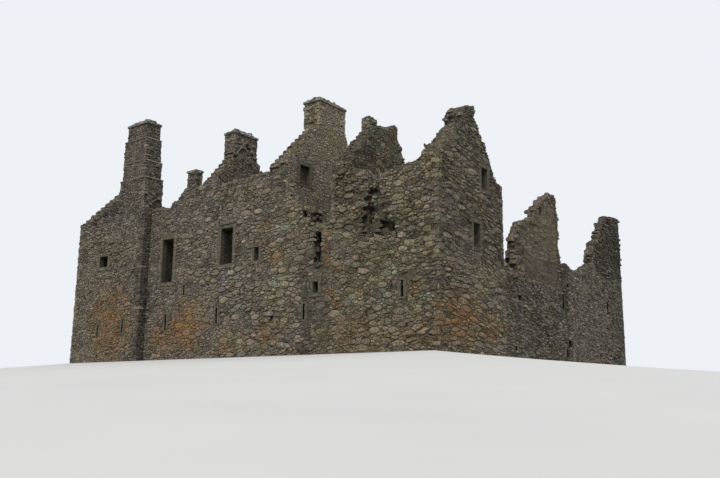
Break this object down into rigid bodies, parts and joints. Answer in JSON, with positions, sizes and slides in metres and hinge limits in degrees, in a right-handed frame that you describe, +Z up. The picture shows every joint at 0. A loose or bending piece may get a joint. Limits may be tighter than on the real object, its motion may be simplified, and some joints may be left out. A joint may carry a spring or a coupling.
{
  "type": "ruined castle keep",
  "caption": "Ruined stone keep: hall range with crow-stepped gables and capped chimney stacks, corner tower, lower side range and a broken old tower, open to the sky.",
  "frame": {"origin": "on the ground under the middle of the whole", "axes": "+X along the main front towards the corner tower, +Y from the main front to the back, +Z up"},
  "size_m": [26.425, 23.96, 14.83],
  "materials": {
    "rubble_stone": "rough",
    "dressed_stone": "rough",
    "slab_stone": "rough",
    "vault_stone": "rough",
    "lime_plaster": "rough"
  },
  "bodies": {
    "root": {"left_gable": "rubble_stone", "left_bay_front": "rubble_stone", "tall_stack": "rubble_stone", "tall_stack_ledges": "slab_stone", "tall_stack_cap": "slab_stone", "hall_wall_west": "rubble_stone", "hall_wall_east": "rubble_stone", "small_stack": "rubble_stone", "small_stack_cap": "slab_stone", "cross_gable": "rubble_stone", "cross_stack": "rubble_stone", "cross_stack_ledges": "slab_stone", "cross_stack_cap": "slab_stone", "end_gable": "rubble_stone", "end_stack": "rubble_stone", "end_stack_ledge": "slab_stone", "end_stack_cap": "slab_stone", "court_wall_west": "rubble_stone", "court_wall_east": "rubble_stone", "west_vault": "vault_stone", "east_vault": "vault_stone", "link_front": "rubble_stone", "link_court": "rubble_stone", "tower_front": "rubble_stone", "tower_west_gable": "rubble_stone", "tower_stub": "rubble_stone", "tower_stub_ledge": "slab_stone", "tower_east_gable": "rubble_stone", "tower_court": "rubble_stone", "tower_vault": "vault_stone", "right_lower_wall": "rubble_stone", "right_upper_wall": "lime_plaster", "right_court_wall": "rubble_stone", "old_tower_front": "rubble_stone", "old_tower_corner": "rubble_stone", "old_tower_far_wall": "rubble_stone", "old_tower_court": "rubble_stone", "old_tower_party": "rubble_stone", "hall_window_margins": "dressed_stone", "tower_window_margins": "dressed_stone", "small_window_margins": "dressed_stone", "hall_string": "dressed_stone"}
  },
  "joints": []
}
